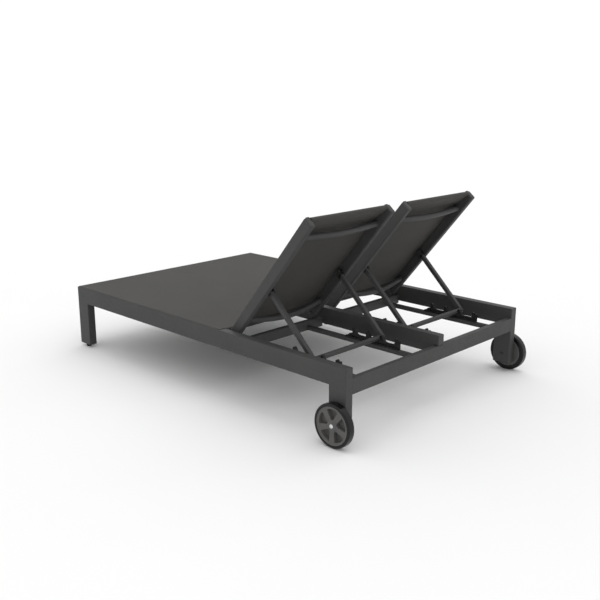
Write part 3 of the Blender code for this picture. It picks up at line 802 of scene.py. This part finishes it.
def build_hub(side_name, side, centre, width, body):
    """Turned hub with five rounded pockets cut between broad spokes."""
    face = width - 0.0018
    web = face - 0.0028
    lip, seat, rim, bore, boss = 0.0313, 0.0742, 0.0838, 0.0054, 0.0198
    profile = [(0, bore), (0, 0.030), (0.0015, 0.032), (0.0015, 0.066), (0, 0.068),
               (0, seat), (lip, seat), (lip, rim), (face - 0.0004, rim), (face, rim - 0.0004),
               (face + 0.0006, rim - 0.0012), (face + 0.0006, rim - 0.0026), (face, rim - 0.0036),
               (web, rim - 0.0054), (web, boss + 0.0017), (web + 0.0010, boss + 0.0007),
               (face, boss), (face, 0.0130), (face - 0.0006, 0.0122), (face - 0.0006, bore)]
    hub = add_piece(side_name + "_hub_moulded", lathe_mesh(profile, centre, side, segments=120), HUB,
                    body, replaces=[side_name + "_hub"], smooth=30)
    cutters = bmesh.new()
    for i in range(5):
        merge(cutters, pocket_mesh(centre, 90 + 72 * i, side, web - POCKET_DEPTH, width + 0.004))
    bmesh.ops.recalc_face_normals(cutters, faces=cutters.faces)
    cutter = new_object("pockets", new_mesh("pockets", cutters))
    cut = hub.modifiers.new("pockets", "BOOLEAN")
    cut.operation, cut.solver, cut.object = "DIFFERENCE", "EXACT", cutter
    round_edges(hub, 0.0007, 2, 50)
    apply_modifiers(hub, smooth=32)
    bpy.data.objects.remove(cutter)


def apply_modifiers(piece, smooth):
    """Keeps the mesh that a piece's modifiers make, without the modifiers."""
    evaluated = piece.evaluated_get(bpy.context.evaluated_depsgraph_get())
    made = bpy.data.meshes.new_from_object(evaluated)
    piece.modifiers.clear()
    piece.data = made
    made.shade_smooth()
    made.set_sharp_from_angle(angle=math.radians(smooth))


def pocket_mesh(centre, angle, side, depth_from, depth_to):
    """Four-sided column with trimmed corners that tapers towards the axle and its floor."""
    inner, outer, half_angle, taper, trim = 0.0245, 0.0752, 25.5, 0.80, 0.035
    corners = []
    for radius, spread, sweep in ((inner, 0.60, 1), (outer, 1.0, -1)):
        for share in [sweep * (k / 4 - 1) for k in range(9)]:
            cut = trim * max(0, abs(share) - 0.72) / 0.28
            reach = radius * (1 - cut if radius == outer else 1 + cut)
            a = math.radians(angle + half_angle * spread * share)
            corners.append(Vector((0, reach * math.cos(a), reach * math.sin(a))))
    core = sum(corners, Vector()) / len(corners)
    outlines = []
    for depth, scale in ((depth_from, taper), (depth_to, 1.0)):
        place = centre + core + Vector((depth * side, 0, 0))
        outlines.append([place + (corner - core) * scale for corner in corners])
    return column_mesh(outlines)


def build_axle(side_name, side, centre, width):
    """Chromed push-on cap over the axle's end, and the axle itself."""
    node = side_name + "_axle_bolt"
    start, end = sorted((corner.x - centre.x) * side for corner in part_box(node))
    face = width - 0.0016
    shaft = [(start, 0), (start, 0.0068), (start + 0.0012, 0.0086), (start + 0.0060, 0.0090),
             (start + 0.0060, 0.0050), (face, 0.0050), (face, 0)]
    add_piece(node + "_shaft", lathe_mesh(shaft, centre, side, segments=48), STEEL, BED)
    dome, dome_radius = face + 0.0030, 0.0074
    profile = [(face, 0), (face, 0.0092), (face + 0.0010, 0.0094), (face + 0.0016, 0.0090),
               (face + 0.0018, 0.0082), (dome, dome_radius)]
    profile += [(dome + (end - dome) * math.sin(a), dome_radius * math.cos(a))
                for a in [math.radians(90 * i / 8) for i in range(1, 8)]]
    profile.append((end, 0))
    add_piece(node + "_polished", lathe_mesh(profile, centre, side, segments=64), CHROME, BED,
              replaces=[node])


# ---------------------------- backrests
def build_backrests():
    """Rails, brackets and pivots of each backrest, its top bar, braces and sling."""
    for side_name, side in SIDES:
        body = side_name + "_backrest"
        for position in POSITIONS:
            build_back_rail(name(side_name, "back", position, "rail"), body)
            build_prop_bracket(side_name, side, position, body)
            build_hinge_pivot(side_name, side, position)
        bar = side_name + "_back_top_bar"
        low, high = local_box(bar, BACK)
        centre = middle(bar, BACK)
        radius = (high.z - low.z) / 2
        tube = tube_mesh(low.x - SINK, high.x + SINK, centre.y, centre.z, radius)
        add_piece(bar + "_tube", tube, COAT, body, BACK, replaces=[bar])
        for level in ("upper", "lower"):
            build_brace(name(side_name, "back", level, "brace"), BACK, body)
        build_back_sling(side_name, side, body, centre)


def build_back_rail(node, body):
    """Rail with a rounded foot, well rounded edges behind and tighter ones under the cloth."""
    low, high = local_box(node, BACK)
    half = (high.z - low.z) / 2
    outline = arc((0, 0), half, 90, 270, 28) + [(high.y, -half), (high.y, half)]
    rail = add_piece(node + "_coated", prism_mesh(outline, low.x, high.x), COAT, body, BACK,
                     replaces=[node], bevel=(BACK_EDGE, 6))
    rail.modifiers["rounding"].limit_method = "WEIGHT"
    weights = rail.data.attributes.new("bevel_weight_edge", "FLOAT", "EDGE")
    for edge in rail.data.edges:
        a, b = (rail.data.vertices[i].co for i in edge.vertices)
        across = abs(a.x - b.x) > 1e-6
        if across and max(a.y, b.y) < high.y - 1e-6:
            continue
        front = not across and min(a.z, b.z) > half - 1e-6
        weights.data[edge.index].value = FRONT_EDGE_SHARE if front else 1.0


def build_back_sling(side_name, side, body, bar):
    """Sling over the front of a backrest, with hems round its top bar and a rod at its foot."""
    sling = side_name + "_back_sling"
    low, high = local_box(sling, BACK)
    width, length = high.x - low.x, bar.y - low.y
    top = high.z - 0.0002
    woven = cloth_mesh(flat_path(low.y, bar.y, top, 80), low.x, high.x,
                       stretched(width, length, BACK_SAG))
    cloth = add_piece(sling + "_woven", woven, CLOTH_LOOK, body, BACK, replaces=[sling], smooth=180)
    rails = [name(side_name, "back", position, "rail") for position in POSITIONS]
    inner, outer = [local_box(rail, BACK) for rail in rails]
    faces = sorted((inner[side > 0].x, outer[side < 0].x))
    x_low, x_high = faces[0] + HEM_GAP, faces[1] - HEM_GAP
    brace_top = local_box(side_name + "_back_upper_brace", BACK)[1].y
    hem_end = (brace_top + 0.010, top - 0.0052)
    folded = wrapped_hem(x_low, x_high, (bar.y, bar.z), top - bar.z, (90, -70), hem_end)
    for x_from, x_to in ((low.x, x_low), (x_high, high.x)):
        merge(folded, cloth_mesh(flat_path(bar.y, high.y, top, 12), x_from, x_to,
                                 lambda s, t: EDGE_DROP * t ** 6, 12))
    hem = add_piece(sling + "_top_hem", folded, CLOTH_LOOK, body, BACK, smooth=180)
    rod_radius = 0.0050
    rod = (low.y + rod_radius + 0.001, top - 0.0046 - rod_radius)
    folded = wrapped_hem(x_low, x_high, rod, rod_radius, (80, 275), (rod[0] + 0.030, top - 0.0066))
    foot_hem = add_piece(sling + "_foot_hem", folded, CLOTH_LOOK, body, BACK, smooth=180)
    for tag, x in (("low", low.x + HEM), ("high", high.x - HEM)):
        stitches(name(side_name, "back", tag, "stitches"), (x, low.y + HEM, top - 0.0001),
                 (x, bar.y - HEM, top - 0.0001), body, BACK)
    for tag, y, z in (("front_top", brace_top + 0.014, top - 0.0013),
                      ("front_foot", low.y + 0.034, top - 0.0017)):
        stitches(name(side_name, "back", tag, "stitches"), (x_low + HEM, y, z),
                 (x_high - HEM, y, z), body, BACK)


def build_prop_bracket(side_name, side, position, body):
    """Clevis on the rail's inside face: a plate on each side of the strut, joined by a web."""
    node = name(side_name, position, "prop_bracket")
    low, high = local_box(node, BACK)
    pivot = BACK.inverted() @ PROP_PIVOT
    strut = local_box(name(side_name, position, "strut"), PROP)
    inward = side if position == "inner" else -side
    rail_face = low.x if inward > 0 else high.x
    strut_far = strut[1].x if inward > 0 else strut[0].x
    outline = arc((pivot.y, pivot.z), PLATE_RADIUS, 180, 360, 24)
    width, low_edge, top_edge = 0.0200, 0.0060, 0.0110
    outline += [(pivot.y + width, low_edge), (pivot.y + width, top_edge),
                (pivot.y - width, top_edge), (pivot.y - width, low_edge)]
    plates = ((rail_face - inward * GAP, rail_face + inward * 0.0030),
              (strut_far + inward * 0.0005, strut_far + inward * 0.0032))
    for tag, faces, replaced in zip(("rail", "free"), plates, ([node], ())):
        add_piece(name(node, tag, "plate"), prism_mesh(outline, *sorted(faces)), STEEL, body,
                  BACK, replaces=replaced, bevel=(0.0007, 3), smooth=35)
    x_low, x_high = sorted((plates[0][1] - inward * 0.0005, plates[1][0] + inward * 0.0005))
    web = box_mesh((x_low, pivot.y - 0.0190, 0.0075), (x_high, pivot.y + 0.0190, 0.0108))
    add_piece(node + "_web", web, STEEL, body, BACK, bevel=(0.0006, 2))
    start, end = plates[0][1] - inward * 0.0005, plates[1][1]
    reach = abs(end - start)
    shank, head_radius, dome, dome_height = 0.0040, 0.0088, reach + 0.0012, 0.0030
    profile = [(0, 0), (0, shank), (reach - 0.0002, shank), (reach - 0.0002, head_radius),
               (dome, head_radius)]
    profile += [(dome + dome_height * math.sin(a), head_radius * (0.30 + 0.70 * math.cos(a)))
                for a in [math.radians(10 * i) for i in range(1, 10)]]
    profile.append((dome + dome_height, 0))
    add_piece(node + "_pin", lathe_mesh(profile, (start, pivot.y, pivot.z), inward, segments=56),
              NYLON, body, BACK, smooth=35)


def build_hinge_pivot(side_name, side, position):
    """Shoulder bolt with a nylon spacer between the bed rail and the backrest rail."""
    node = name(side_name, position, "hinge_pivot")
    inward = -side if position == "outer" else side
    (frame_end, bolt_end), (near, far) = [
        [corner.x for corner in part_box(part)[::inward]]
        for part in (node, name(side_name, "back", position, "rail"))]
    sunk, shank, rim = 0.008, 0.0050, 0.0090
    face = frame_end + inward * sunk
    gap, head, end = abs(near - face), abs(far - face), abs(bolt_end - face)
    centre = (face, HINGE.y, HINGE.z)
    profile = [(-sunk, 0), (-sunk, shank), (head + GAP, shank), (head + GAP, rim - 0.0006),
               (head + 0.0008, rim), (head + 0.0030, rim), (end - 0.0006, 0.0074),
               (end, 0.0062), (end, 0.0034), (end - 0.0022, 0.0030), (end - 0.0022, 0)]
    add_piece(node + "_bolt", lathe_mesh(profile, centre, inward, segments=48), STEEL, BED,
              replaces=[node], smooth=35)
    bush = [(0.0002, 0.0054), (0.0002, 0.0116), (0.0008, 0.0122), (gap - 0.0009, 0.0122),
            (gap - 0.0003, 0.0116), (gap - 0.0003, 0.0054)]
    add_piece(node + "_bush", lathe_mesh(bush, centre, inward, segments=48), NYLON, BED, smooth=35)


# ---------------------------- props
def build_props():
    """Struts with a rounded top end and a plugged foot, welded to their crossbar."""
    for side_name, _ in SIDES:
        body = side_name + "_prop"
        bar = side_name + "_prop_crossbar"
        bar_low, bar_high = local_box(bar, PROP)
        radius = (bar_high.z - bar_low.z) / 2
        length = (bar_low.y + bar_high.y) / 2
        tube = tube_mesh(bar_low.x - SINK, bar_high.x + SINK, length, 0, radius)
        add_piece(bar + "_tube", tube, COAT, body, PROP, replaces=[bar])
        welds = bmesh.new()
        for x in (bar_low.x, bar_high.x):
            merge(welds, ring_weld(Vector((x, length, 0)), radius))
        add_piece(bar + "_welds", welds, COAT, body, PROP, smooth=60)
        for position in POSITIONS:
            node = name(side_name, position, "strut")
            low, high = local_box(node, PROP)
            plug, inset, half = 0.0035, 0.0004, high.z
            outline = arc((low.y + half, 0), half, 90, 270, 20)
            outline += [(high.y - plug, -half), (high.y - plug, half)]
            add_piece(node + "_coated", prism_mesh(outline, low.x, high.x), COAT, body, PROP,
                      replaces=[node], bevel=(0.0028, 4), smooth=35)
            cap = box_mesh((low.x + inset, high.y - plug - 0.002, low.z + inset),
                           (high.x - inset, high.y, high.z - inset))
            add_piece(node + "_end_plug", cap, NYLON, body, PROP, bevel=(0.0020, 4))


# ---------------------------- stage
def build_world():
    """Studio surround: it lights the object from one side and looks evenly white itself."""
    world = bpy.data.worlds.new("studio")
    bpy.context.scene.world = world
    world.use_nodes = True
    tree = world.node_tree
    place = tree.nodes.new("ShaderNodeTexCoord")
    facing = tree.nodes.new("ShaderNodeVectorMath")
    facing.operation = "DOT_PRODUCT"
    facing.inputs[1].default_value = BRIGHT_SIDE.normalized()
    tree.links.new(place.outputs["Generated"], facing.inputs[0])
    level = tree.nodes.new("ShaderNodeMapRange")
    level.interpolation_type = "SMOOTHSTEP"
    for socket, value in zip(level.inputs[1:5], (*WORLD_SPREAD, *WORLD_LEVELS)):
        socket.default_value = value
    tree.links.new(facing.outputs["Value"], level.inputs[0])
    path = tree.nodes.new("ShaderNodeLightPath")
    seen = tree.nodes.new("ShaderNodeMix")
    seen.inputs["B"].default_value = WORLD_LEVELS[1]
    tree.links.new(path.outputs["Is Camera Ray"], seen.inputs["Factor"])
    tree.links.new(level.outputs[0], seen.inputs["A"])
    tree.links.new(seen.outputs[0], tree.nodes["Background"].inputs["Strength"])
    tree.nodes["Background"].inputs["Color"].default_value = (1.0, 1.0, 1.0, 1.0)


def build_floor():
    """Pale sweep: a matt floor that fades into the bright surround far from the object."""
    floor = Look("pale_floor", None)
    shade = floor.mix(floor.range(floor.noise(1.3, 4.0), 0.3, 0.7), grey(0.90), grey(0.91))
    floor.set(base_color=shade, roughness=0.8, specular_ior_level=0.15,
              normal=floor.bump(floor.noise(240.0), 0.0002))
    distance = floor.node("ShaderNodeVectorMath", operation="LENGTH")
    floor.feed(distance.inputs[0], floor.place)
    away = floor.range(distance.outputs["Value"], *FLOOR_FADE)
    glow = floor.node("ShaderNodeEmission")
    glow.inputs["Strength"].default_value = WORLD_LEVELS[1]
    blend = floor.feed_all(floor.node("ShaderNodeMixShader"), away, floor.shader.outputs[0],
                           glow.outputs[0])
    floor.feed(floor.tree.nodes["Material Output"].inputs["Surface"], blend)
    bm = bmesh.new()
    bmesh.ops.create_circle(bm, cap_ends=True, segments=64, radius=60.0)
    ground = new_object("floor", new_mesh("floor", bm))
    ground.data.materials.append(floor.material)
    ground.location.z = -GAP


def build_key():
    """One soft light, high above the bed and a little towards its head end and right side."""
    data = bpy.data.lights.new("key", "SUN")
    data.energy, data.angle = KEY_STRENGTH, math.radians(KEY_SPREAD)
    new_object("key", data).rotation_euler = (-KEY_FROM).to_track_quat("-Z", "Y").to_euler()


def build_camera():
    """Three-quarter view from above the head end's left corner."""
    place, yaw, pitch = Vector((3.0532, 3.0438, 1.4656)), 3.94101, 0.25810
    data = bpy.data.cameras.new("camera")
    data.lens, data.sensor_width = 50.127, 36.0
    camera = new_object("camera", data)
    forward = Vector((math.sin(yaw) * math.cos(pitch), math.cos(yaw) * math.cos(pitch),
                      -math.sin(pitch)))
    camera.location = place
    camera.rotation_euler = forward.to_track_quat("-Z", "Y").to_euler()
    bpy.context.scene.camera = camera
    bpy.context.scene.view_settings.view_transform = "Standard"


build_camera()
build_world()
build_floor()
build_key()
build_bed_tubes()
build_glides()
build_seat()
build_racks()
build_wheels()
build_backrests()
build_props()

bpy.context.view_layer.update()
